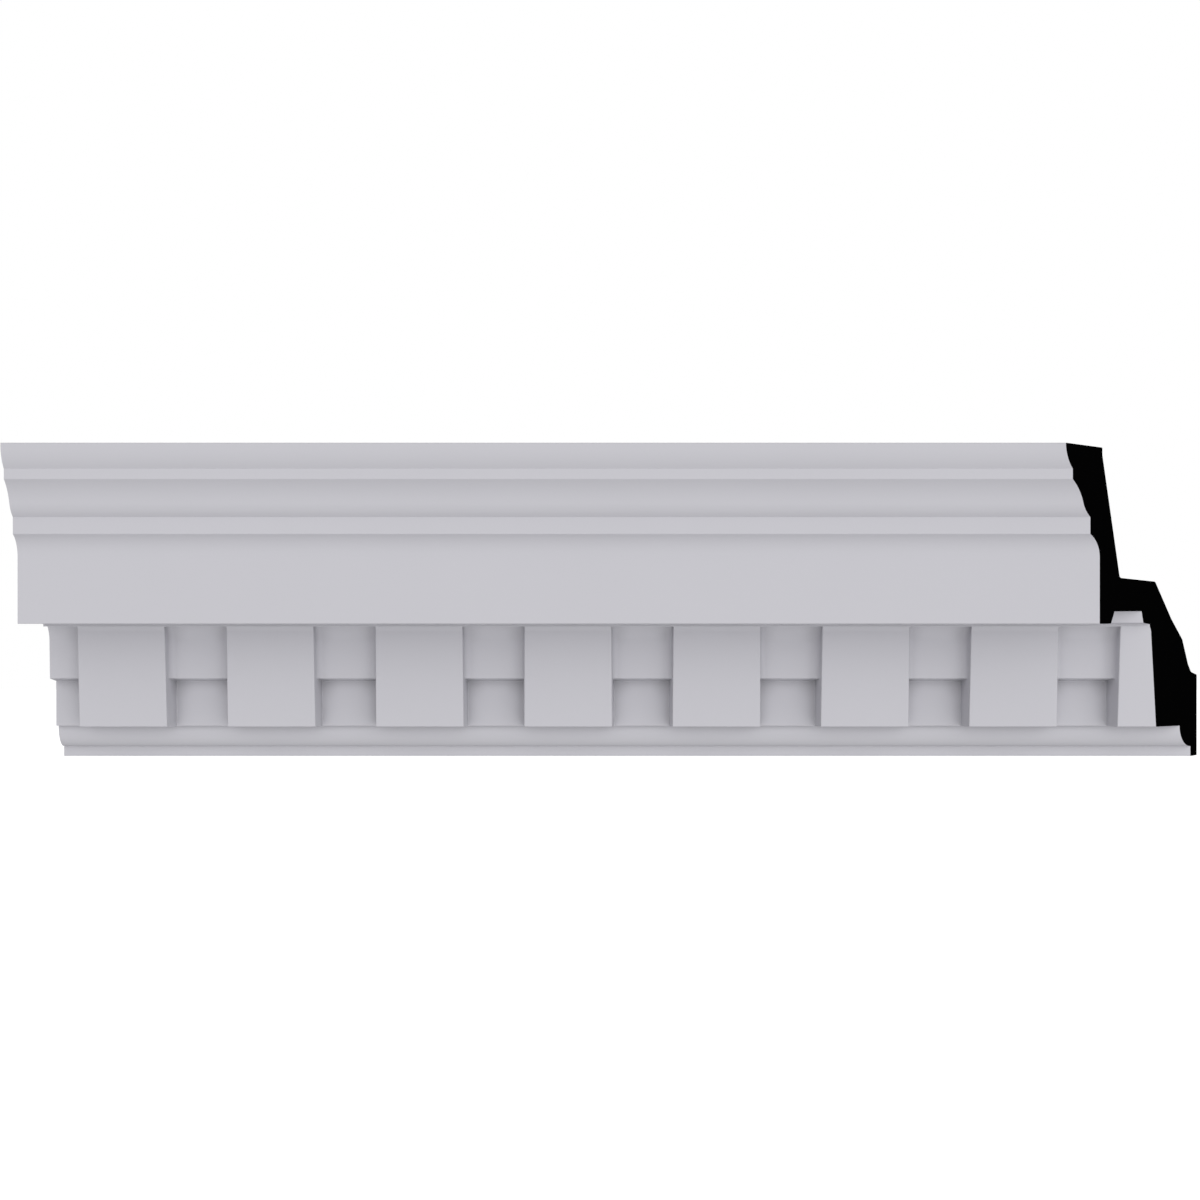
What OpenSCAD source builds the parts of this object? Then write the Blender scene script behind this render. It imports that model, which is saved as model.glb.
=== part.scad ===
// Dentil cornice moulding length.
//
// One cast length: the crown, the fascia, the grooved soffit, the dentil course, the bed mould
// and the hollow back are a single solid. The left-hand end is cut square and the right-hand
// end is mitred for an inside corner of a room, longest at the wall.
//
// X runs along the wall, -Y faces the room and +Z is up. The origin is the centre of the face
// that lies on the wall. A "back" is how far a member steps back towards the wall, a
// "projection" is a distance out from the wall, and a "drop" is measured downwards.

/* [Overall] */
// Length along the wall, from the square end to the point of the mitre
length = 766; // [500:1:2400]
// Height from the ceiling to the bottom edge
height = 200; // [165:1:300]
// Projection from the wall to the top front edge
projection = 124; // [103:1:200]
// Angle of the mitred end, away from square
mitre_angle = 45; // [0:0.5:55]

/* [Crown] */
// Drop of the round under the top edge
top_round_drop = 15.2; // [10:0.1:22]
// Back of the round under the top edge
top_round_back = 5.8; // [3:0.1:9]
// Height of the fillet under the top round
upper_fillet_h = 6.3; // [2:0.1:10]
// Drop of the hollow upper half of the ogee
ogee_hollow_drop = 13.7; // [11:0.1:18]
// Back of the hollow upper half of the ogee
ogee_hollow_back = 9.1; // [6:0.1:11]
// Drop of the round lower half of the ogee
ogee_round_drop = 8.5; // [7:0.1:12]
// Back of the round lower half of the ogee
ogee_round_back = 6.1; // [5:0.1:8]
// Lean of the ogee where its halves meet, from upright
ogee_lean = 17; // [5:1:28]
// Height of the fillet under the ogee
lower_fillet_h = 10.5; // [3:0.1:14]
// Drop of the cove under the lower fillet
cove_drop = 13.9; // [9:0.1:18]
// Back of the cove under the lower fillet
cove_back = 8.3; // [5:0.1:9]

/* [Soffit] */
// Width of the flat drip edge under the fascia
drip_w = 10.2; // [5:0.1:11]
// Depth of the groove in the soffit
groove_depth = 7.6; // [3:0.1:12]
// Lean of the groove's front wall over its depth
groove_front_lean = 3.2; // [0.5:0.1:3.5]
// Lean of the groove's back wall over its depth
groove_back_lean = 1.7; // [0.5:0.1:2]
// Width of the ledge between the groove and the band
ledge_w = 6.3; // [3:0.1:8]
// Fall of that ledge, from the groove to the band
ledge_fall = 0.9; // [0:0.1:0.9]

/* [Dentils] */
// Projection of the band over the dentils
band_projection = 47.9; // [44:0.1:49]
// Height of the band over the dentils
band_h = 2.4; // [1:0.1:6]
// Height of a dentil under the band
dentil_h = 65.5; // [55:0.1:75]
// Back of the small hollow that joins the band to a dentil's face
face_hollow_back = 1.3; // [0.5:0.1:2]
// Drop of that small hollow
face_hollow_drop = 4.4; // [2:0.1:8]
// Lean of a dentil's face over the rest of its height
face_lean = 4.8; // [1:0.1:6]
// Width of a dentil at its foot
dentil_w = 57.3; // [40:0.1:75]
// Distance from one dentil to the next
dentil_pitch = 96.8; // [90:0.1:140]
// Distance from the square end to the first dentil
first_gap = 21.4; // [5:0.1:40]
// Draft on each side of a dentil
side_draft = 4; // [1:0.5:8]
// Rise of the dentils' underside from back to front
underside_rise = 1.1; // [0.2:0.1:2.5]

/* [Recesses between the dentils] */
// Projection of the upper recess at its foot
upper_recess_projection = 35; // [30:0.1:36]
// Lean of the upper recess's back over its height
upper_recess_lean = 0.9; // [0.2:0.1:1.5]
// Back of the cove at the head of the upper recess
recess_cove_back = 4; // [2:0.1:6]
// Drop of the cove at the head of the upper recess
recess_cove_drop = 10.5; // [5:0.1:16]
// Radius of the upright coves at the sides of the upper recess
recess_side_cove = 4; // [1:0.1:5]
// Drop from the band to the step between the two recesses
step_drop = 34.4; // [25:0.1:42]
// Fall of the step's underside from front to back
step_fall = 2.1; // [0.5:0.1:4]
// Projection of the lower recess
lower_recess_projection = 22.6; // [19:0.1:27]

/* [Bed mould] */
// Height of the fillet along the bottom edge
bottom_fillet_h = 6.8; // [3:0.1:12]
// Projection of the fillet along the bottom edge
bottom_fillet_projection = 6.7; // [3:0.1:9]
// Height of the bed round, from the bottom fillet to the dentils
bed_round_h = 14.6; // [12:0.1:22]
// Projection of the bed round at its head
bed_round_projection = 18; // [14:0.1:18.5]

/* [Back] */
// Width of the face that meets the ceiling
ceiling_face_w = 31.7; // [26:0.1:36]
// Height of the upright edge behind the ceiling face
back_edge_h = 4.6; // [2:0.1:12]
// Thickness behind the fascia
fascia_wall = 18.3; // [12:0.1:19]
// Thickness over the soffit's groove
soffit_wall = 21.2; // [14:0.1:26]
// Projection of the shelf's inner end
shelf_end_projection = 42.6; // [38:0.1:46]
// Fall of the shelf from front to back
shelf_fall = 2; // [0.5:0.1:4]
// Height of the face that lies on the wall
wall_face_h = 54.6; // [40:0.1:58]
// Projection of the web behind the soffit ledge
web_head_projection = 26.2; // [23:0.1:30]
// Height of that point over the soffit
web_head_rise = 2; // [0.5:0.1:6]
// Projection of the web's knee
web_knee_projection = 15.1; // [12:0.1:18]
// Drop of the web's knee under the soffit
web_knee_drop = 11.6; // [6:0.1:14]
// Projection of the web's foot, where it steepens
web_foot_projection = 9.1; // [7:0.1:11]
// Height of that point over the wall face
web_foot_rise = 7.2; // [4:0.1:9]
// Projection of the web's toe, where it meets the narrow ledge over the wall face
web_toe_projection = 6; // [3:0.1:6.5]
// Rise of the narrow ledge, from the wall to the toe
web_toe_rise = 2.1; // [0.5:0.1:3]

/* [Hidden] */

// How far a cutter runs past what it cuts
over = 1;
// Straight steps in an arc
arc_steps = 8;

// Levels, with the wall face's centre at zero
wall_face_top = wall_face_h / 2;
bottom = -wall_face_top;
top = bottom + height;
dentil_foot = bottom + bottom_fillet_h + bed_round_h;
dentil_head = dentil_foot + underside_rise + dentil_h;
soffit = dentil_head + band_h;
groove_top = soffit + groove_depth;
shelf_front = groove_top + soffit_wall;

// Depths from the wall, as Y
front = -projection;
ogee_y = front + top_round_back + ogee_hollow_back + ogee_round_back;
fascia_y = ogee_y + cove_back;
groove_back_y = -band_projection - ledge_w;
face_head_y = -band_projection + face_hollow_back;
face_foot_y = face_head_y + face_lean;

// Levels down the crown
ogee_head = top - top_round_drop - upper_fillet_h;
ogee_foot = ogee_head - ogee_hollow_drop - ogee_round_drop;
cove_head = ogee_foot - lower_fillet_h;

// The dentils' rhythm
left_end = -length / 2;
right_end = length / 2;
last_dentil_end = right_end - lower_recess_projection * tan(mitre_angle);
gap_w = dentil_pitch - dentil_w;
first_gap_x = left_end + first_gap - gap_w / 2;
gap_count = ceil((last_dentil_end + gap_w / 2 - first_gap_x) / dentil_pitch);

// The angle of a chord from upright
function chord_lean(back, drop) = atan(back / drop);

// A vector turned left by an angle
function turned(v, angle) = [
    v.x * cos(angle) - v.y * sin(angle),
    v.x * sin(angle) + v.y * cos(angle)
];

// Points of the arc from a to b that turns left by an angle (right where it is below zero)
function arc(a, b, turn) =
    let(
        chord = b - a,
        centre = (a + b) / 2 + turned(chord, 90) / (2 * tan(turn / 2))
    )
    [for (k = [0:arc_steps]) centre + turned(a - centre, turn * k / arc_steps)];

// Points of the quarter ellipse from a to b that leaves a upright and reaches b level
function quarter_ellipse(a, b) = [
    for (k = [0:arc_steps])
        let(angle = 90 * k / arc_steps)
        [a.x + (b.x - a.x) * (1 - cos(angle)), a.y + (b.y - a.y) * sin(angle)]
];

// The crown, from the top front edge down to the foot of the fascia
function crown_line() =
    let(
        round_foot = [front + top_round_back, top - top_round_drop],
        hollow_head = [round_foot.x, ogee_head],
        hollow_foot = hollow_head + [ogee_hollow_back, -ogee_hollow_drop],
        hollow_turn = 2 * (chord_lean(ogee_hollow_back, ogee_hollow_drop) - ogee_lean),
        round_turn = 2 * (chord_lean(ogee_round_back, ogee_round_drop) - ogee_lean)
    )
    concat(
        arc([front, top], round_foot, 2 * chord_lean(top_round_back, top_round_drop)),
        arc(hollow_head, hollow_foot, -hollow_turn),
        arc(hollow_foot, [ogee_y, ogee_foot], round_turn),
        arc([ogee_y, cove_head], [fascia_y, cove_head - cove_drop],
            -2 * chord_lean(cove_back, cove_drop)),
        [[fascia_y, soffit]]
    );

// The underside between the fascia and the band
function soffit_line() = [
    [fascia_y + drip_w, soffit],
    [fascia_y + drip_w + groove_front_lean, groove_top],
    [groove_back_y - groove_back_lean, groove_top],
    [groove_back_y, soffit],
    [-band_projection, soffit - ledge_fall]
];

// The band and a dentil's face and underside
function dentil_line() =
    let(hollow_foot = [face_head_y, dentil_head - face_hollow_drop])
    concat(
        arc([-band_projection, dentil_head], hollow_foot,
            -2 * chord_lean(face_hollow_back, face_hollow_drop)),
        [[face_foot_y, dentil_foot + underside_rise]]
    );

// The bed round, the bottom fillet and the bottom edge
function bed_line() =
    let(
        round_head = [-bed_round_projection, dentil_foot],
        round_foot = [-bottom_fillet_projection, dentil_foot - bed_round_h]
    )
    concat(
        quarter_ellipse(round_head, round_foot),
        [[-bottom_fillet_projection, bottom], [0, bottom]]
    );

// The back, from the wall face up to the ceiling face
function back_line() = [
    [0, wall_face_top],
    [-web_toe_projection, wall_face_top + web_toe_rise],
    [-web_foot_projection, wall_face_top + web_foot_rise],
    [-web_knee_projection, soffit - web_knee_drop],
    [-web_head_projection, soffit + web_head_rise],
    [-shelf_end_projection, shelf_front - shelf_fall],
    [fascia_y + fascia_wall, shelf_front],
    [front + ceiling_face_w, top - back_edge_h],
    [front + ceiling_face_w, top]
];

// Runs a section along the wall, from the square end past the mitre
module run(from, to) {
    translate([from, 0, 0])
        rotate([90, 0, 90])
            linear_extrude(to - from)
                children();
}

// The whole section, cut through a dentil
module section() {
    polygon(concat(crown_line(), soffit_line(), dentil_line(), bed_line(), back_line()));
}

// Half the width of a gap between two dentils, where it is the given distance from the wall
function half_gap(out) = gap_w / 2 + (out + face_foot_y) * tan(side_draft);

// A gap's plan: drafted sides, with the inner corners rounded by the given radius
module gap_plan(back_projection, corner) {
    mouth = band_projection + over;
    shoulder = upper_recess_projection + recess_side_cove;
    side = [half_gap(shoulder), -shoulder];
    inner = [half_gap(back_projection) - corner, -back_projection];
    half = concat(
        [[half_gap(mouth), -mouth]],
        corner > 0 ? arc(side, inner, 90 - side_draft) : [side, inner]
    );
    mirrored = [for (k = [len(half) - 1:-1:0]) [-half[k].x, half[k].y]];
    polygon(concat(half, mirrored));
}

// One gap's cut: a section and a plan that both have to hold
module gap_cut(section_points, back_projection, corner) {
    intersection() {
        run(-gap_w, gap_w)
            polygon(section_points);
        translate([0, 0, bottom])
            linear_extrude(dentil_head - bottom + over)
                gap_plan(back_projection, corner);
    }
}

// The space between two dentils: a shallow upper recess over a deeper lower one
module dentil_gap() {
    mouth_y = -band_projection - over;
    step = dentil_head - step_drop;
    upper_head_y = -upper_recess_projection - upper_recess_lean;
    upper_section = concat(
        [[mouth_y, dentil_head]],
        arc([upper_head_y - recess_cove_back, dentil_head],
            [upper_head_y, dentil_head - recess_cove_drop],
            -2 * chord_lean(recess_cove_back, recess_cove_drop)),
        [
            [-upper_recess_projection, step],
            [-upper_recess_projection, step - over],
            [mouth_y, step - over]
        ]
    );
    lower_section = [
        [mouth_y, step],
        [-upper_recess_projection, step],
        [-lower_recess_projection, step - step_fall],
        [-lower_recess_projection, dentil_foot - over],
        [mouth_y, dentil_foot - over]
    ];
    gap_cut(upper_section, upper_recess_projection, recess_side_cove);
    gap_cut(lower_section, lower_recess_projection, 0);
}

// All that lies beyond the mitred end
module mitre_waste() {
    room = projection + over;
    far = right_end + room * tan(mitre_angle) + over;
    translate([0, 0, bottom - over])
        linear_extrude(height + 2 * over)
            polygon([
                [right_end + over * tan(mitre_angle), over],
                [right_end - room * tan(mitre_angle), -room],
                [far, -room],
                [far, over]
            ]);
}

// The moulding: the section run along the wall, less the gaps and the mitre
module cornice_moulding() {
    color([0.78, 0.78, 0.80])
        difference() {
            run(left_end, right_end + over)
                section();
            for (k = [0:gap_count - 1])
                translate([first_gap_x + k * dentil_pitch, 0, 0])
                    dentil_gap();
            mitre_waste();
        }
}

cornice_moulding();
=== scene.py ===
"""The finished look of a dentil cornice moulding length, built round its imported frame.

The moulding is one cast piece, so it is one closed mesh. Its outline is drawn member by member,
from the ceiling down the face, under the dentils, and up the hollow back. The mesh runs that
outline along the wall in columns, and between the dentils it drops to the recesses' own outline.
Lengths are millimetres until the mesh is made, with Y out from the wall and Z up, as in the frame.
"""

import logging
import math
from dataclasses import dataclass, field
from enum import IntEnum

import bpy
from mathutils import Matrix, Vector


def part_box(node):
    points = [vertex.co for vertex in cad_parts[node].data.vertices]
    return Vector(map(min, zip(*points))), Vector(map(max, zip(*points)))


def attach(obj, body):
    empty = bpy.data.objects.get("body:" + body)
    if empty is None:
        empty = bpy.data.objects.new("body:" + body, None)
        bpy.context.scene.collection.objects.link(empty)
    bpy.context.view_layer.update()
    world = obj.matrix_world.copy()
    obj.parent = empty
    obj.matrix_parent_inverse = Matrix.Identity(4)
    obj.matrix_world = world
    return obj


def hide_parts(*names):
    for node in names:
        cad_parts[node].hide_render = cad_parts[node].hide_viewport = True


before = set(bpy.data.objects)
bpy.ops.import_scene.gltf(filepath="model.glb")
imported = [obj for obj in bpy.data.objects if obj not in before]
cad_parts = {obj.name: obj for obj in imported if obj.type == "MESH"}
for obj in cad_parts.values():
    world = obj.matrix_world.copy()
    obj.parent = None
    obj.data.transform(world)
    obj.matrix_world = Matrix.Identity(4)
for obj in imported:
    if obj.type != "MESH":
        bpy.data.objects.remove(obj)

log = logging.getLogger("cornice")

NODE = "cornice_moulding"
MM = 0.001
WHITE = (1.0, 1.0, 1.0, 1.0)

Point = tuple[float, float]
Colour = tuple[float, float, float]


class Side(IntEnum):
    """The finishes of the moulding's sides, in the order of its material slots."""

    FACE = 0
    BACK = 1
    CUT = 2


def turned(vector: Point, angle: float) -> Point:
    """Turn a vector to the left.

    Args:
        vector: The vector.
        angle: The angle in radians.

    Returns:
        The turned vector.
    """
    cos, sin = math.cos(angle), math.sin(angle)
    return vector[0] * cos - vector[1] * sin, vector[0] * sin + vector[1] * cos


def blend(a: Point, b: Point, share: float) -> Point:
    """Find the point a given share of the way from one point to another.

    Args:
        a: The first point.
        b: The second point.
        share: 0 at the first point, 1 at the second.

    Returns:
        The point between them.
    """
    return a[0] + (b[0] - a[0]) * share, a[1] + (b[1] - a[1]) * share


def chord_lean(back: float, drop: float) -> float:
    """Give the angle of a chord from upright.

    Args:
        back: How far the chord steps back towards the wall.
        drop: How far it drops.

    Returns:
        The angle in radians.
    """
    return math.atan(back / drop)


@dataclass
class Corner:
    """One point of an outline, with the radius that softens it and the side that starts there."""

    at: Point
    radius: float = 0.0
    side: Side = Side.FACE


@dataclass
class Outline:
    """A run of outline points, drawn corner by corner, whose corners are then softened."""

    corners: list[Corner] = field(default_factory=list)
    side: Side = Side.FACE
    arc_steps: int = 12
    corner_steps: int = 4

    def corner(self, y: float, z: float, radius: float = 0.0) -> None:
        """Add a corner.

        Args:
            y: Its place across the wall.
            z: Its level.
            radius: The radius that softens it, or 0 where it stays as drawn.
        """
        self.corners.append(Corner((y, z), radius, self.side))

    def arc_to(self, y: float, z: float, turn: float, radius: float = 0.0) -> None:
        """Add an arc from the last point.

        Args:
            y: The place of the arc's end.
            z: The level of the arc's end.
            turn: The angle that it turns to the left, in radians, or to the right below zero.
            radius: The radius that softens its end.
        """
        start = self.corners[-1].at
        across = turned((y - start[0], z - start[1]), math.pi / 2)
        reach = 1 / (2 * math.tan(turn / 2))
        centre = (
            (start[0] + y) / 2 + across[0] * reach,
            (start[1] + z) / 2 + across[1] * reach,
        )
        spoke = (start[0] - centre[0], start[1] - centre[1])
        for step in range(1, self.arc_steps + 1):
            swung = turned(spoke, turn * step / self.arc_steps)
            self.corner(centre[0] + swung[0], centre[1] + swung[1])
        self.corners[-1].radius = radius

    def quarter_ellipse_to(self, y: float, z: float, radius: float = 0.0) -> None:
        """Add a quarter ellipse that leaves the last point upright and ends level.

        Args:
            y: The place of its end.
            z: The level of its end.
            radius: The radius that softens its end.
        """
        start = self.corners[-1].at
        for step in range(1, self.arc_steps + 1):
            angle = math.pi / 2 * step / self.arc_steps
            across = (y - start[0]) * (1 - math.cos(angle))
            down = (z - start[1]) * math.sin(angle)
            self.corner(start[0] + across, start[1] + down)
        self.corners[-1].radius = radius

    def softened(self, longest: float) -> list[Corner]:
        """Replace each corner that has a radius by a small arc, and divide the long stretches.

        Args:
            longest: The longest stretch that stays whole.

        Returns:
            The corners of the finished outline.
        """
        soft: list[Corner] = [self.corners[0]]
        for before, corner, after in zip(self.corners, self.corners[1:], self.corners[2:]):
            soft.extend(self._rounded(before, corner, after) if corner.radius else [corner])
        soft.append(self.corners[-1])
        done = [soft[0]]
        for a, b in zip(soft, soft[1:]):
            pieces = max(1, math.ceil(math.dist(a.at, b.at) / longest))
            for step in range(1, pieces):
                done.append(Corner(blend(a.at, b.at, step / pieces), side=a.side))
            done.append(b)
        return done

    def _rounded(self, before: Corner, corner: Corner, after: Corner) -> list[Corner]:
        """Round one corner.

        Args:
            before: The corner before it.
            corner: The corner, whose radius the lengths of its two sides may limit.
            after: The corner after it.

        Returns:
            The corners of the small arc.
        """
        point = Vector(corner.at)
        into = point - Vector(before.at)
        out = Vector(after.at) - point
        turn = math.atan2(into.x * out.y - into.y * out.x, into.dot(out))
        half_side = min(into.length, out.length) / 2
        cut = min(corner.radius * math.tan(abs(turn) / 2), half_side)
        start = point - into.normalized() * cut
        end = point + out.normalized() * cut
        small = Outline(side=corner.side, arc_steps=self.corner_steps)
        small.corner(start.x, start.y)
        small.arc_to(end.x, end.y, turn)
        return small.corners


@dataclass
class Row:
    """One line of the mesh along the wall: where it lies on a dentil and between two dentils.

    Its ease is 0 where its columns crowd round the dentils' sides, and 1 where they lie evenly.
    """

    dentil: Point
    recess: Point
    side_cove: float = 0.0
    ease: float = 0.0
    side: Side = Side.FACE

    @classmethod
    def plain(cls, corner: Corner) -> "Row":
        """Make a row that runs straight along the whole length."""
        return cls(corner.at, corner.at, ease=1.0, side=corner.side)


@dataclass
class FallingLine:
    """An outline that never rises, on which every point has a level of its own."""

    points: list[Point]
    levels: list[float]

    @classmethod
    def of_corners(cls, corners: list[Corner], least_drop: float) -> "FallingLine":
        """Level an outline's points.

        Args:
            corners: The outline's corners.
            least_drop: How much lower each level is than the one before, along a flat stretch.

        Returns:
            The line.
        """
        points = [corner.at for corner in corners]
        levels = [points[0][1]]
        for _, z in points[1:]:
            levels.append(min(z, levels[-1] - least_drop))
        return cls(points, levels)

    def at(self, level: float) -> Point:
        """Find the line's point at a level.

        Args:
            level: The level.

        Returns:
            The point.
        """
        for index, lower in enumerate(self.levels[1:]):
            if lower <= level:
                upper = self.levels[index]
                return blend(self.points[index], self.points[index + 1],
                             (upper - level) / (upper - lower))
        return self.points[-1]


@dataclass(frozen=True)
class Stretch:
    """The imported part's own box, in millimetres, from which every member takes its place."""

    left: float
    right: float
    front: float
    bottom: float
    top: float

    @classmethod
    def of_node(cls, node: str) -> "Stretch":
        """Read a node's box from the frame.

        Args:
            node: The node's name.

        Returns:
            Its ends, front and levels.
        """
        low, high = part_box(node)
        values = (low.x, high.x, low.y, low.z, high.z)
        return cls(*(value / MM for value in values))


@dataclass
class Softness:
    """How far the casting and its coats of primer soften the corners."""

    edge: float = 0.6
    nook: float = 0.45
    lip: float = 1.0


@dataclass
class Crown:
    """The crown and the fascia: a round, a fillet, an ogee, a fillet and a cove over a flat."""

    at: Stretch
    soft: Softness
    ceiling_face_w: float = 31.7
    round_drop: float = 15.2
    round_back: float = 5.8
    upper_fillet_h: float = 6.3
    hollow_drop: float = 13.7
    hollow_back: float = 9.1
    ogee_round_drop: float = 8.5
    ogee_round_back: float = 6.1
    ogee_lean: float = math.radians(17)
    lower_fillet_h: float = 10.5
    cove_drop: float = 13.9
    cove_back: float = 8.3

    @property
    def fascia_y(self) -> float:
        """Place of the fascia's face."""
        back = self.round_back + self.hollow_back + self.ogee_round_back + self.cove_back
        return self.at.front + back

    def draw(self, line: Outline, soffit: float) -> None:
        """Draw the crown from the middle of the ceiling face down to the foot of the fascia.

        Args:
            line: The outline to draw on.
            soffit: The level of the fascia's foot.
        """
        edge, nook = self.soft.edge, self.soft.nook
        y, z = self.at.front, self.at.top
        line.side = Side.BACK
        line.corner(y + self.ceiling_face_w / 2, z)
        line.side = Side.FACE
        line.corner(y, z, edge)
        y, z = y + self.round_back, z - self.round_drop
        line.arc_to(y, z, 2 * chord_lean(self.round_back, self.round_drop), nook)
        z -= self.upper_fillet_h
        line.corner(y, z, edge)
        y, z = y + self.hollow_back, z - self.hollow_drop
        hollow_turn = 2 * (chord_lean(self.hollow_back, self.hollow_drop) - self.ogee_lean)
        line.arc_to(y, z, -hollow_turn)
        y, z = y + self.ogee_round_back, z - self.ogee_round_drop
        round_turn = 2 * (chord_lean(self.ogee_round_back, self.ogee_round_drop) - self.ogee_lean)
        line.arc_to(y, z, round_turn, nook)
        z -= self.lower_fillet_h
        line.corner(y, z, edge)
        cove_turn = 2 * chord_lean(self.cove_back, self.cove_drop)
        line.arc_to(self.fascia_y, z - self.cove_drop, -cove_turn)
        line.corner(self.fascia_y, soffit, edge)


@dataclass
class Soffit:
    """The underside between the fascia and the dentils' band, with its shadow groove."""

    soft: Softness
    drip_w: float = 10.2
    groove_depth: float = 7.6
    groove_front_lean: float = 3.2
    groove_back_lean: float = 1.7
    ledge_w: float = 6.3
    ledge_fall: float = 0.9

    def draw(self, line: Outline, level: float, fascia_y: float, band_y: float) -> None:
        """Draw the soffit from the fascia's foot to the head of the band.

        Args:
            line: The outline to draw on.
            level: The soffit's level.
            fascia_y: The place of the fascia's face.
            band_y: The place of the band's face.
        """
        edge, nook = self.soft.edge, self.soft.nook
        groove_front = fascia_y + self.drip_w
        groove_back = band_y - self.ledge_w
        head = level + self.groove_depth
        line.corner(groove_front, level, edge)
        line.corner(groove_front + self.groove_front_lean, head, nook)
        line.corner(groove_back - self.groove_back_lean, head, nook)
        line.corner(groove_back, level, self.soft.lip)
        line.corner(band_y, level - self.ledge_fall, nook)


@dataclass
class BedMould:
    """The round and the fillet along the bottom edge, under the dentils."""

    at: Stretch
    soft: Softness
    fillet_h: float = 6.8
    fillet_projection: float = 6.7
    round_h: float = 14.6
    round_projection: float = 18.0

    @property
    def head(self) -> float:
        """Level of the head of the round."""
        return self.at.bottom + self.fillet_h + self.round_h

    def draw(self, line: Outline) -> None:
        """Draw the bed mould from the head of its round back along the bottom edge.

        Args:
            line: The outline to draw on, which has its last point at the head of the round.
        """
        edge, nook = self.soft.edge, self.soft.nook
        line.quarter_ellipse_to(-self.fillet_projection, self.head - self.round_h, nook)
        line.corner(-self.fillet_projection, self.at.bottom, edge)


@dataclass
class HollowBack:
    """The hidden side: the wall face, the web behind the dentils, the shelf and the slope."""

    at: Stretch
    soft: Softness
    wall_face_h: float = 54.6
    web_toe: Point = (6.0, 2.1)
    web_foot: Point = (9.1, 7.2)
    web_knee: Point = (15.1, -11.6)
    web_head: Point = (26.2, 2.0)
    shelf_end_projection: float = 42.6
    shelf_fall: float = 2.0
    fascia_wall: float = 18.3
    soffit_wall: float = 21.2
    back_edge_h: float = 4.6
    skin_radius: float = 2.0

    def draw(self, line: Outline, crown: Crown, soffit: float, groove_head: float) -> None:
        """Draw the back from the wall face's foot up to the ceiling face.

        Args:
            line: The outline to draw on, which has its last point on the bottom edge.
            crown: The crown, whose thickness the slope keeps.
            soffit: The soffit's level.
            groove_head: The level of the soffit groove's head.
        """
        edge = self.soft.edge
        face_top = self.at.bottom + self.wall_face_h
        shelf = groove_head + self.soffit_wall
        slope_head = self.at.front + crown.ceiling_face_w
        line.side = Side.BACK
        line.corner(0.0, self.at.bottom, edge)
        line.corner(0.0, face_top, edge)
        line.corner(-self.web_toe[0], face_top + self.web_toe[1], self.skin_radius)
        line.corner(-self.web_foot[0], face_top + self.web_foot[1], self.skin_radius)
        line.corner(-self.web_knee[0], soffit + self.web_knee[1], self.skin_radius)
        line.corner(-self.web_head[0], soffit + self.web_head[1], self.skin_radius)
        line.corner(-self.shelf_end_projection, shelf - self.shelf_fall, self.skin_radius)
        line.corner(crown.fascia_y + self.fascia_wall, shelf, self.skin_radius)
        line.corner(slope_head, self.at.top - self.back_edge_h, self.skin_radius)
        line.corner(slope_head, self.at.top, edge)


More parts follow.
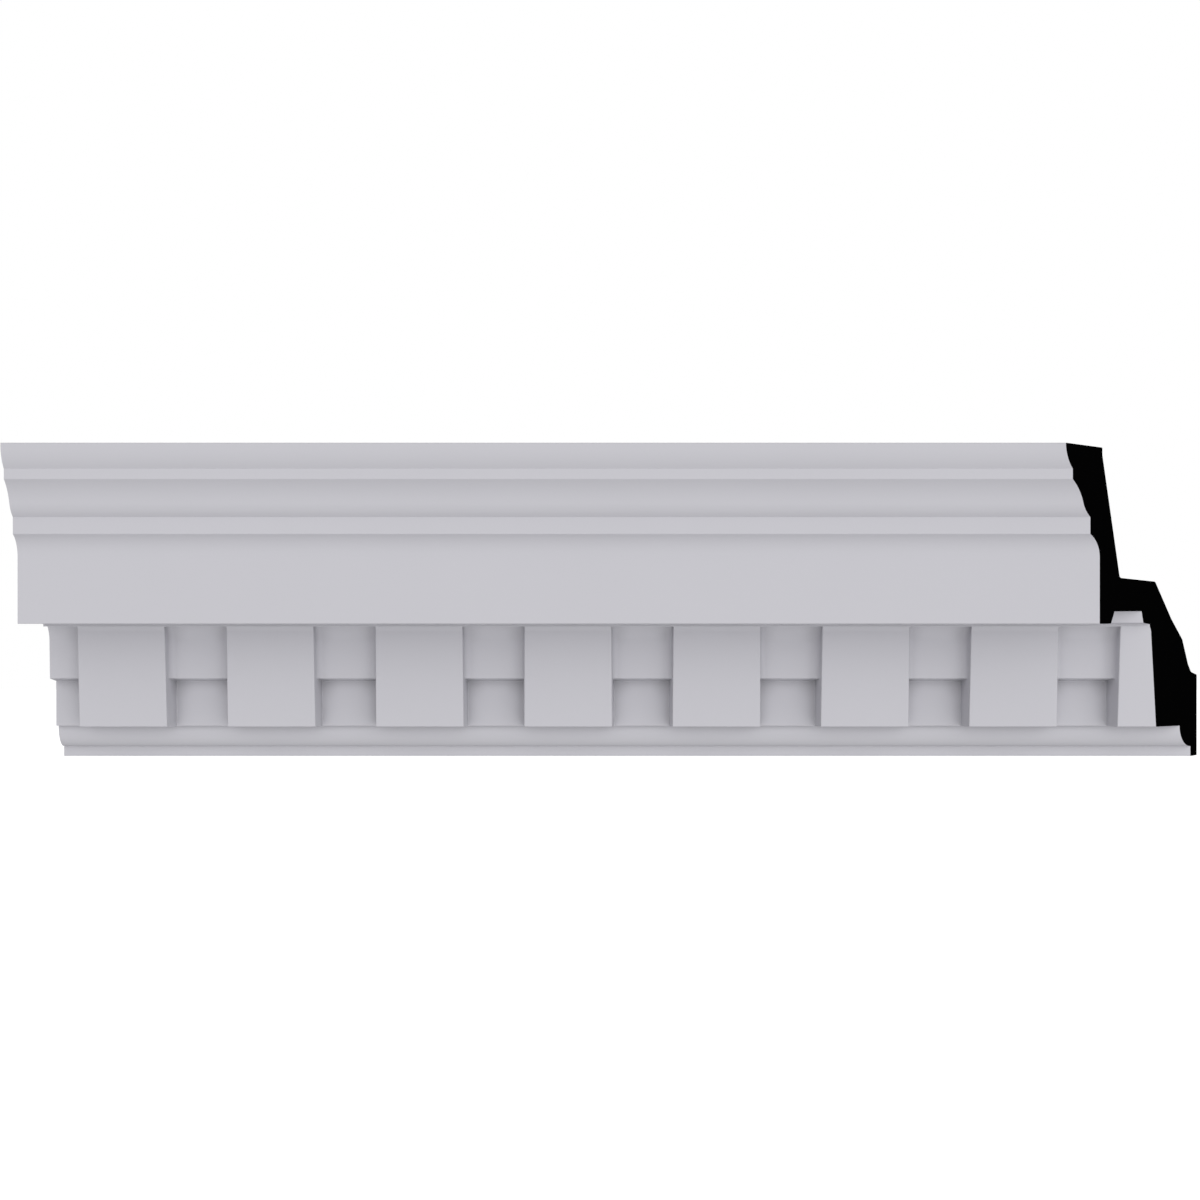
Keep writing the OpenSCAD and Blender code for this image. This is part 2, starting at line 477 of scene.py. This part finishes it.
@dataclass
class DentilCourse:
    """The band, the dentils under it and the two-step recesses between them."""

    at: Stretch
    soft: Softness
    band_projection: float = 47.9
    band_h: float = 2.4
    dentil_h: float = 65.5
    face_hollow_back: float = 1.3
    face_hollow_drop: float = 4.4
    face_lean: float = 4.8
    width: float = 57.3
    pitch: float = 96.8
    first_gap: float = 21.4
    side_draft: float = math.radians(4)
    underside_rise: float = 1.1
    upper_projection: float = 35.0
    upper_lean: float = 0.9
    cove_back: float = 4.0
    cove_drop: float = 10.5
    side_cove: float = 4.0
    step_drop: float = 34.4
    step_fall: float = 2.1
    lower_projection: float = 22.6
    least_drop: float = 0.15
    least_gap: float = 0.04
    longest: float = 6.0

    def head(self, bed: BedMould) -> float:
        """Level of the dentils' head, which is the foot of the band."""
        return bed.head + self.underside_rise + self.dentil_h

    @property
    def foot_y(self) -> float:
        """Place of a dentil's face at its foot."""
        return -self.band_projection + self.face_hollow_back + self.face_lean

    def underside(self, y: float, bed: BedMould) -> Point:
        """Find the point of the dentils' underside at a place.

        Args:
            y: The place across the wall.
            bed: The bed mould that the underside runs back to.

        Returns:
            The point.
        """
        share = (-y - bed.round_projection) / (-self.foot_y - bed.round_projection)
        return y, bed.head + self.underside_rise * share

    def dentil_line(self, bed: BedMould) -> list[Corner]:
        """Draw a dentil from the band's face down its own face and back under it.

        Args:
            bed: The bed mould under the dentils.

        Returns:
            The dentil's outline.
        """
        head = self.head(bed)
        line = Outline()
        line.corner(-self.band_projection, head + self.soft.edge)
        line.corner(-self.band_projection, head)
        turn = 2 * chord_lean(self.face_hollow_back, self.face_hollow_drop)
        hollow_y = -self.band_projection + self.face_hollow_back
        line.arc_to(hollow_y, head - self.face_hollow_drop, -turn)
        line.corner(*self.underside(self.foot_y, bed), self.soft.edge)
        line.corner(*self.underside(-self.lower_projection + self.soft.lip, bed))
        return line.softened(self.longest)

    def recess_line(self, bed: BedMould) -> list[Corner]:
        """Draw the recess between two dentils, from the band's face to the common underside.

        Args:
            bed: The bed mould under the dentils.

        Returns:
            The recess's outline.
        """
        soft = self.soft
        head = self.head(bed)
        step = head - self.step_drop
        upper_y = -self.upper_projection - self.upper_lean
        line = Outline()
        line.corner(-self.band_projection, head + soft.edge)
        line.corner(-self.band_projection, head, soft.edge)
        line.corner(upper_y - self.cove_back, head, soft.nook)
        turn = 2 * chord_lean(self.cove_back, self.cove_drop)
        line.arc_to(upper_y, head - self.cove_drop, -turn)
        line.corner(-self.upper_projection, step, soft.edge)
        line.corner(-self.lower_projection, step - self.step_fall, soft.nook)
        line.corner(*self.underside(-self.lower_projection, bed), soft.edge)
        line.corner(*self.underside(-self.lower_projection + soft.lip, bed))
        return line.softened(self.longest)

    def rows(self, bed: BedMould) -> list[Row]:
        """Match the dentils' outline to the recesses' outline, level by level.

        Args:
            bed: The bed mould under the dentils.

        Returns:
            The rows from the band's face to the underside behind the dentils.
        """
        dentil = FallingLine.of_corners(self.dentil_line(bed), self.least_drop)
        recess = FallingLine.of_corners(self.recess_line(bed), self.least_drop)
        foot = min(dentil.levels[-1], recess.levels[-1])
        dentil.levels[-1] = recess.levels[-1] = foot
        levels = list(recess.levels)
        for level in dentil.levels:
            if min(abs(level - other) for other in levels) >= self.least_gap:
                levels.append(level)
        levels.sort(reverse=True)
        lip = self.head(bed) - self.step_drop
        found = []
        for level in levels:
            point = recess.at(level)
            cove = self.side_cove if point[1] > lip else self.soft.nook
            found.append(Row(dentil.at(level), point, cove))
        return found

    def edges(self) -> list[tuple[float, int]]:
        """List the dentils' side edges along the wall.

        Returns:
            Each edge's place at the dentils' foot, with 1 where the dentil lies to its left
            and the recess to its right, or -1 where they lie the other way round.
        """
        found = []
        start = self.at.left + self.first_gap
        while start < self.at.right + self.foot_y:
            found.append((start, -1))
            found.append((start + self.width, 1))
            start += self.pitch
        return [edge for edge in found if edge[0] < self.at.right + self.foot_y]

    def side_x(self, edge: float, recess_side: int, y: float) -> float:
        """Place of a dentil's drafted side at a depth.

        Args:
            edge: The side's place at the dentil's foot.
            recess_side: 1 where the recess lies to the right, or -1.
            y: The place across the wall.

        Returns:
            The place along the wall.
        """
        return edge + recess_side * (y - self.foot_y) * math.tan(self.side_draft)


@dataclass
class Columns:
    """How the mesh steps along the wall: over a dentil, round its edge, in, and across a recess."""

    course: DentilCourse
    round_steps: int = 3
    wall_steps: int = 2
    recess_steps: int = 4
    dentil_steps: int = 5
    depth_per_edge_r: float = 3.0
    depth_per_cove_r: float = 2.0
    spread: float = 0.9
    spread_depth: float = 0.4
    ease_reach: float = 14.0

    def side_places(self, row: Row, edge: float, recess_side: int) -> list[Vector]:
        """Place a row's points round one side of a dentil.

        Args:
            row: The row.
            edge: The side's place at the dentil's foot.
            recess_side: 1 where the recess lies to the right, or -1.

        Returns:
            The points from the dentil's face to the recess.
        """
        depth = math.dist(row.dentil, row.recess)
        edge_r = min(self.course.soft.edge, depth / self.depth_per_edge_r)
        cove_r = min(row.side_cove, depth / self.depth_per_cove_r)
        quarter = math.pi / 2
        steps: list[Point] = []
        for step in range(self.round_steps + 1):
            angle = quarter * step / self.round_steps
            steps.append((-edge_r * (1 - math.sin(angle)), edge_r * (1 - math.cos(angle))))
        for step in range(1, self.wall_steps):
            steps.append((0.0, edge_r + (depth - edge_r - cove_r) * step / self.wall_steps))
        for step in range(self.round_steps + 1):
            angle = quarter * step / self.round_steps
            steps.append((cove_r * (1 - math.cos(angle)), depth - cove_r * (1 - math.sin(angle))))
        shallow = max(0.0, 1 - depth / self.spread_depth)
        points = []
        for index, (aside, inward) in enumerate(steps):
            y, z = blend(row.dentil, row.recess, inward / depth if depth else 0.0)
            fan = self.spread * (index / (len(steps) - 1) - 0.5) * shallow
            x = self.course.side_x(edge, recess_side, y) + recess_side * (aside + fan)
            points.append(Vector((x, y, z)))
        return points

    def places(self, row: Row, mitre_right: float) -> list[Vector]:
        """Place all of a row's points, from the square end to the mitre.

        Args:
            row: The row.
            mitre_right: Where the mitre meets the wall.

        Returns:
            The row's points.
        """
        start = Vector((self.course.at.left, *row.recess))
        points = [start]
        for edge, recess_side in self.course.edges():
            side = self.side_places(row, edge, recess_side)
            if recess_side < 0:
                side.reverse()
            steps = self.recess_steps if recess_side < 0 else self.dentil_steps
            points.extend(self._between(points[-1], side[0], steps))
            points.extend(side)
        end = Vector((mitre_right + row.dentil[0], *row.dentil))
        points.extend(self._between(points[-1], end, self.dentil_steps))
        points.append(end)
        for index, point in enumerate(points):
            even = start.x + (end.x - start.x) * index / (len(points) - 1)
            point.x += (even - point.x) * row.ease
        return points

    def ease_out(self, rows: list[Row], start: Point) -> None:
        """Let the columns even out over the rows that lead away from the dentils.

        Args:
            rows: The rows, from the one that is nearest the dentils.
            start: The point that the first of them leads from.
        """
        travelled, last = 0.0, start
        for row in rows:
            travelled += math.dist(last, row.recess)
            share = min(1.0, travelled / self.ease_reach)
            row.ease = share * share * (3 - 2 * share)
            last = row.recess

    @staticmethod
    def _between(a: Vector, b: Vector, steps: int) -> list[Vector]:
        """Points that divide the way from one point to another, without its ends."""
        return [a.lerp(b, step / steps) for step in range(1, steps)]


@dataclass(frozen=True)
class Skin:
    """What the primer and the bare skin share: how their slow and their fine drift are made."""

    cloud_scale: float = 9.0
    cloud_detail: float = 4.0
    gloss_drift: float = 0.05
    pebble_detail: float = 3.0


@dataclass(frozen=True)
class PrimerFinish(Skin):
    """Factory primer sprayed on the moulding's face: matt, pale, very slightly pebbled.

    Its colour is darkened in the inner corners, which is painted shade.
    """

    colour: Colour = (0.571, 0.565, 0.604)
    drift: float = 0.02
    roughness: float = 0.62
    specular: float = 0.25
    pebble_size: float = 0.0016
    pebble_depth: float = 0.00003
    # Painted shade: how much darker the colour is made in the inner corners, and how far it
    # reaches.
    painted_shade_depth: float = 0.42
    painted_shade_reach: float = 0.013

    def material(self) -> bpy.types.Material:
        """Make the primer's material.

        Returns:
            The material.
        """
        return sprayed_skin("primed_face", self)


@dataclass(frozen=True)
class SkinFinish(Skin):
    """The bare moulded skin of the hidden back: as pale, a little duller and less even."""

    colour: Colour = (0.50, 0.495, 0.515)
    drift: float = 0.06
    roughness: float = 0.78
    specular: float = 0.2
    pebble_size: float = 0.004
    pebble_depth: float = 0.00012
    # Painted shade: how much darker the colour is made in the inner corners, and how far it
    # reaches.
    painted_shade_depth: float = 0.25
    painted_shade_reach: float = 0.02

    def material(self) -> bpy.types.Material:
        """Make the bare skin's material.

        Returns:
            The material.
        """
        return sprayed_skin("moulded_back", self)


@dataclass(frozen=True)
class CutFinish:
    """The flat mitred cut, sealed in dead black."""

    dark: Colour = (0.0005, 0.0005, 0.0005)
    light: Colour = (0.0015, 0.0015, 0.0016)
    cell_size: float = 0.0012
    cell_detail: float = 2.0

    def material(self) -> bpy.types.Material:
        """Make the cut face's material.

        Returns:
            The material.
        """
        nodes = Nodes.of_material("sealed_cut")
        shader = nodes.shader(roughness=1.0, specular=0.0)
        cells = nodes.noise(1 / self.cell_size, self.cell_detail)
        nodes.link(nodes.mix(cells, self.dark, self.light), shader.inputs["Base Color"])
        return nodes.owner


@dataclass
class Nodes:
    """The nodes of a material or a world, with short ways to add what the looks are made of."""

    owner: bpy.types.Material | bpy.types.World

    def __post_init__(self) -> None:
        """Start with no nodes."""
        self.owner.use_nodes = True
        self.tree.nodes.clear()

    @classmethod
    def of_material(cls, name: str) -> "Nodes":
        """Start an empty node material.

        Args:
            name: The material's name.

        Returns:
            Its nodes.
        """
        return cls(bpy.data.materials.new(name))

    @property
    def tree(self) -> bpy.types.NodeTree:
        """The node tree."""
        return self.owner.node_tree

    def link(self, output: bpy.types.NodeSocket, socket: bpy.types.NodeSocket) -> None:
        """Join an output to an input."""
        self.tree.links.new(output, socket)

    def shader(self, roughness: float, specular: float) -> bpy.types.Node:
        """Add the surface shader and the material's output.

        Args:
            roughness: The surface's roughness.
            specular: Its specular level.

        Returns:
            The shader's node.
        """
        shader = self.tree.nodes.new("ShaderNodeBsdfPrincipled")
        output = self.tree.nodes.new("ShaderNodeOutputMaterial")
        shader.inputs["Roughness"].default_value = roughness
        shader.inputs["Specular IOR Level"].default_value = specular
        self.link(shader.outputs["BSDF"], output.inputs["Surface"])
        return shader

    def noise(self, scale: float, detail: float) -> bpy.types.NodeSocket:
        """Add a noise in the object's own metres.

        Args:
            scale: Waves to the metre.
            detail: How many finer layers it has.

        Returns:
            The noise's value.
        """
        place = self.tree.nodes.new("ShaderNodeTexCoord")
        noise = self.tree.nodes.new("ShaderNodeTexNoise")
        noise.inputs["Scale"].default_value = scale
        noise.inputs["Detail"].default_value = detail
        self.link(place.outputs["Object"], noise.inputs["Vector"])
        return noise.outputs["Fac"]

    def mix(self, share: bpy.types.NodeSocket, a: Colour, b: Colour) -> bpy.types.NodeSocket:
        """Add a colour that runs between two colours.

        Args:
            share: What moves the colour from the first to the second.
            a: The first colour.
            b: The second colour.

        Returns:
            The colour.
        """
        mix = self.tree.nodes.new("ShaderNodeMix")
        mix.data_type = "RGBA"
        mix.inputs["A"].default_value = (*a, 1.0)
        mix.inputs["B"].default_value = (*b, 1.0)
        self.link(share, mix.inputs["Factor"])
        return mix.outputs["Result"]

    def range(self, value: bpy.types.NodeSocket, low: float, high: float) -> bpy.types.NodeSocket:
        """Add a map of a 0 to 1 value onto a range.

        Args:
            value: The value.
            low: What 0 becomes.
            high: What 1 becomes.

        Returns:
            The mapped value.
        """
        ranged = self.tree.nodes.new("ShaderNodeMapRange")
        ranged.inputs["To Min"].default_value = low
        ranged.inputs["To Max"].default_value = high
        self.link(value, ranged.inputs["Value"])
        return ranged.outputs["Result"]

    def openness(self, reach: float, shut: float = 0.25, clear: float = 0.8, rays: int = 6
                 ) -> bpy.types.NodeSocket:
        """Add a value that is low in the moulding's own inner corners.

        Args:
            reach: How far from a corner it still is low, in metres.
            shut: The share of clear directions at which it reaches 0.
            clear: The share at which it reaches 1.
            rays: How many directions are tried.

        Returns:
            0 deep in a corner, 1 in the open.
        """
        corner = self.tree.nodes.new("ShaderNodeAmbientOcclusion")
        corner.only_local = True
        corner.samples = rays
        corner.inputs["Distance"].default_value = reach
        ranged = self.tree.nodes.new("ShaderNodeMapRange")
        ranged.inputs["From Min"].default_value = shut
        ranged.inputs["From Max"].default_value = clear
        self.link(corner.outputs["AO"], ranged.inputs["Value"])
        return ranged.outputs["Result"]

    def scaled(self, colour: bpy.types.NodeSocket, by: bpy.types.NodeSocket
               ) -> bpy.types.NodeSocket:
        """Add a colour made darker or lighter.

        Args:
            colour: The colour.
            by: What multiplies it.

        Returns:
            The new colour.
        """
        scale = self.tree.nodes.new("ShaderNodeVectorMath")
        scale.operation = "SCALE"
        self.link(colour, scale.inputs[0])
        self.link(by, scale.inputs["Scale"])
        return scale.outputs["Vector"]

    def facing(self, axis: Vector) -> bpy.types.NodeSocket:
        """Add how nearly a world's direction points along an axis.

        Args:
            axis: The axis, of any length.

        Returns:
            1 along the axis, and 0 at a right angle to it and beyond.
        """
        direction = self.tree.nodes.new("ShaderNodeTexCoord")
        dot = self.tree.nodes.new("ShaderNodeVectorMath")
        dot.operation = "DOT_PRODUCT"
        dot.inputs[1].default_value = axis.normalized()
        self.link(direction.outputs["Generated"], dot.inputs[0])
        return self.math("MAXIMUM", dot.outputs["Value"], 0.0)

    def math(self, operation: str, *values: bpy.types.NodeSocket | float) -> bpy.types.NodeSocket:
        """Add a sum.

        Args:
            operation: The kind of sum.
            values: Its numbers, each a plain number or another node's value.

        Returns:
            The result.
        """
        node = self.tree.nodes.new("ShaderNodeMath")
        node.operation = operation
        for socket, value in zip(node.inputs, values):
            if isinstance(value, (int, float)):
                socket.default_value = value
            else:
                self.link(value, socket)
        return node.outputs["Value"]

    def bump(self, height: bpy.types.NodeSocket, depth: float) -> bpy.types.NodeSocket:
        """Add a bump.

        Args:
            height: Its height, from 0 to 1.
            depth: The depth of the whole range, in metres.

        Returns:
            The bumped normal.
        """
        bump = self.tree.nodes.new("ShaderNodeBump")
        bump.inputs["Distance"].default_value = depth
        self.link(height, bump.inputs["Height"])
        return bump.outputs["Normal"]


def sprayed_skin(name: str, finish: PrimerFinish | SkinFinish) -> bpy.types.Material:
    """Make a matt skin whose colour, gloss and surface drift a little, with painted corner shade.

    Args:
        name: The material's name.
        finish: The skin's colour, drift, painted corner shade, gloss and pebbling.

    Returns:
        The material.
    """
    nodes = Nodes.of_material(name)
    shader = nodes.shader(finish.roughness, finish.specular)
    clouds = nodes.noise(finish.cloud_scale, finish.cloud_detail)
    darker = tuple(part * (1 - finish.drift) for part in finish.colour)
    lighter = tuple(part * (1 + finish.drift) for part in finish.colour)
    coat = nodes.mix(clouds, darker, lighter)
    # Painted shade: the coat's colour is darkened in the skin's own inner corners.
    painted_shade = nodes.range(nodes.openness(finish.painted_shade_reach), 1 - finish.painted_shade_depth, 1.0)
    nodes.link(nodes.scaled(coat, painted_shade), shader.inputs["Base Color"])
    duller, glossier = finish.roughness + finish.gloss_drift, finish.roughness - finish.gloss_drift
    gloss = nodes.range(clouds, glossier, duller)
    nodes.link(gloss, shader.inputs["Roughness"])
    pebbles = nodes.noise(1 / finish.pebble_size, finish.pebble_detail)
    nodes.link(nodes.bump(pebbles, finish.pebble_depth), shader.inputs["Normal"])
    return nodes.owner


@dataclass
class CorniceMoulding:
    """The whole length: the members' outlines, joined into one closed mesh and dressed."""

    at: Stretch
    soft: Softness = field(default_factory=Softness)
    longest: float = 6.0
    sharp_angle: float = math.radians(40)

    def __post_init__(self) -> None:
        """Make the members."""
        self.crown = Crown(self.at, self.soft)
        self.soffit = Soffit(self.soft)
        self.course = DentilCourse(self.at, self.soft)
        self.bed = BedMould(self.at, self.soft)
        self.back = HollowBack(self.at, self.soft)
        self.columns = Columns(self.course)

    def rows(self) -> list[Row]:
        """Draw the whole outline, once round.

        Returns:
            Its rows, from the ceiling face down the front and up the back.
        """
        head = self.course.head(self.bed)
        soffit = head + self.course.band_h
        band_y = -self.course.band_projection
        upper = Outline()
        self.crown.draw(upper, soffit)
        self.soffit.draw(upper, soffit, self.crown.fascia_y, band_y)
        upper.corner(band_y, head + self.soft.lip)
        middle = self.course.rows(self.bed)
        lower = Outline()
        lower.corner(*middle[-1].recess)
        lower.corner(-self.bed.round_projection, self.bed.head, self.soft.nook)
        self.bed.draw(lower)
        self.back.draw(lower, self.crown, soffit, soffit + self.soffit.groove_depth)
        lower.corner(*upper.corners[0].at)
        above = [Row.plain(corner) for corner in upper.softened(self.longest)]
        below = [Row.plain(corner) for corner in lower.softened(self.longest)[1:-1]]
        self.columns.ease_out(above[::-1], middle[0].recess)
        self.columns.ease_out(below, middle[-1].recess)
        return above + middle + below

    def build(self) -> bpy.types.Object:
        """Build the moulding's mesh.

        Returns:
            The moulding.
        """
        rows = self.rows()
        grid = [self.columns.places(row, self.at.right) for row in rows]
        across = len(grid[0])
        corners = [tuple(point * MM) for line in grid for point in line]
        faces: list[tuple[int, ...]] = []
        sides: list[int] = []
        for index, row in enumerate(rows):
            start = index * across
            below = (index + 1) % len(rows) * across
            for step in range(across - 1):
                faces.append((start + step, below + step, below + step + 1, start + step + 1))
                sides.append(row.side)
        loop = [index * across for index in range(len(rows))]
        faces.append(tuple(reversed(loop)))
        sides.append(Side.FACE)
        faces.append(tuple(start + across - 1 for start in loop))
        sides.append(Side.CUT)
        mesh = bpy.data.meshes.new("moulding")
        mesh.from_pydata(corners, [], faces)
        mesh.polygons.foreach_set("material_index", sides)
        mesh.polygons.foreach_set("use_smooth", [True] * len(faces))
        mesh.set_sharp_from_angle(angle=self.sharp_angle)
        mesh.validate()
        piece = bpy.data.objects.new("moulding", mesh)
        bpy.context.scene.collection.objects.link(piece)
        return piece

    def dress(self, piece: bpy.types.Object) -> None:
        """Give the moulding its finishes and even out its shading.

        Args:
            piece: The moulding.
        """
        finishes = {Side.FACE: PrimerFinish(), Side.BACK: SkinFinish(), Side.CUT: CutFinish()}
        for side in Side:
            piece.data.materials.append(finishes[side].material())
        shading = piece.modifiers.new("even_shading", "WEIGHTED_NORMAL")
        shading.keep_sharp = True


@dataclass
class Studio:
    """The plain white floor, the soft light and the camera.

    The light is an even fill from all round, and a wide soft key that is strongest from the
    room's side, in front of the wall and a little to the right.
    """

    at: Stretch
    floor_drop: float = 450.0
    floor_half: float = 9000.0
    floor_tone: float = 0.8
    floor_glow: float = 0.8
    floor_roughness: float = 0.9
    fill: float = 0.41
    key: float = 0.64
    key_focus: float = 1.7
    key_aside: float = 0.3
    camera_out: float = 985.0
    camera_right: float = 361.3
    camera_down: float = 94.8
    view_width: float = 722.9

    def build(self) -> None:
        """Build the floor, the light and the camera."""
        self._floor()
        self._light()
        self._camera()

    def _floor(self) -> None:
        """Lay the floor, which throws no light back up on the moulding."""
        half = self.floor_half * MM
        z = (self.at.bottom - self.floor_drop) * MM
        mesh = bpy.data.meshes.new("floor")
        corners = [(-half, -half, z), (half, -half, z), (half, half, z), (-half, half, z)]
        mesh.from_pydata(corners, [], [(0, 1, 2, 3)])
        floor = bpy.data.objects.new("floor", mesh)
        floor.visible_diffuse = False
        floor.visible_glossy = False
        bpy.context.scene.collection.objects.link(floor)
        nodes = Nodes.of_material("floor")
        shader = nodes.shader(self.floor_roughness, specular=0.0)
        tone = self.floor_tone
        shader.inputs["Base Color"].default_value = (tone, tone, tone, 1.0)
        shader.inputs["Emission Color"].default_value = WHITE
        shader.inputs["Emission Strength"].default_value = self.floor_glow
        mesh.materials.append(nodes.owner)

    def _light(self) -> None:
        """Light the moulding, and let the camera see plain white behind it."""
        world = bpy.data.worlds.new("studio")
        nodes = Nodes(world)
        toward_key = nodes.facing(Vector((self.key_aside, -1.0, 0.0)))
        lobe = nodes.math("POWER", toward_key, self.key_focus)
        peak = self.key * (self.key_focus + 2) / 2
        lit = nodes.tree.nodes.new("ShaderNodeBackground")
        nodes.link(nodes.math("MULTIPLY_ADD", lobe, peak, self.fill), lit.inputs["Strength"])
        white = nodes.tree.nodes.new("ShaderNodeBackground")
        for background in (lit, white):
            background.inputs["Color"].default_value = WHITE
        ray = nodes.tree.nodes.new("ShaderNodeLightPath")
        seen = nodes.tree.nodes.new("ShaderNodeMixShader")
        nodes.link(ray.outputs["Is Camera Ray"], seen.inputs["Fac"])
        nodes.link(lit.outputs["Background"], seen.inputs[1])
        nodes.link(white.outputs["Background"], seen.inputs[2])
        output = nodes.tree.nodes.new("ShaderNodeOutputWorld")
        nodes.link(seen.outputs["Shader"], output.inputs["Surface"])
        bpy.context.scene.world = world
        bpy.context.scene.view_settings.view_transform = "Standard"

    def _camera(self) -> None:
        """Set the camera level and square to the wall."""
        data = bpy.data.cameras.new("camera")
        data.lens = data.sensor_width * self.camera_out / self.view_width
        camera = bpy.data.objects.new("camera", data)
        camera.location = Vector((
            self.at.left + self.camera_right,
            self.at.front - self.camera_out,
            self.at.top - self.camera_down,
        )) * MM
        camera.rotation_euler = (math.pi / 2, 0.0, 0.0)
        bpy.context.scene.collection.objects.link(camera)
        bpy.context.scene.camera = camera


def main() -> None:
    """Build the studio and the moulding, and set the moulding in the frame."""
    logging.basicConfig(level=logging.INFO, format="%(name)s: %(message)s")
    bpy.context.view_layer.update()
    at = Stretch.of_node(NODE)
    Studio(at).build()
    moulding = CorniceMoulding(at)
    piece = moulding.build()
    moulding.dress(piece)
    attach(piece, "root")
    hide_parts(NODE)
    log.info("%s: %d faces, %d dentils", piece.name, len(piece.data.polygons),
             sum(side < 0 for _, side in moulding.course.edges()))


if __name__ == "__main__":
    main()
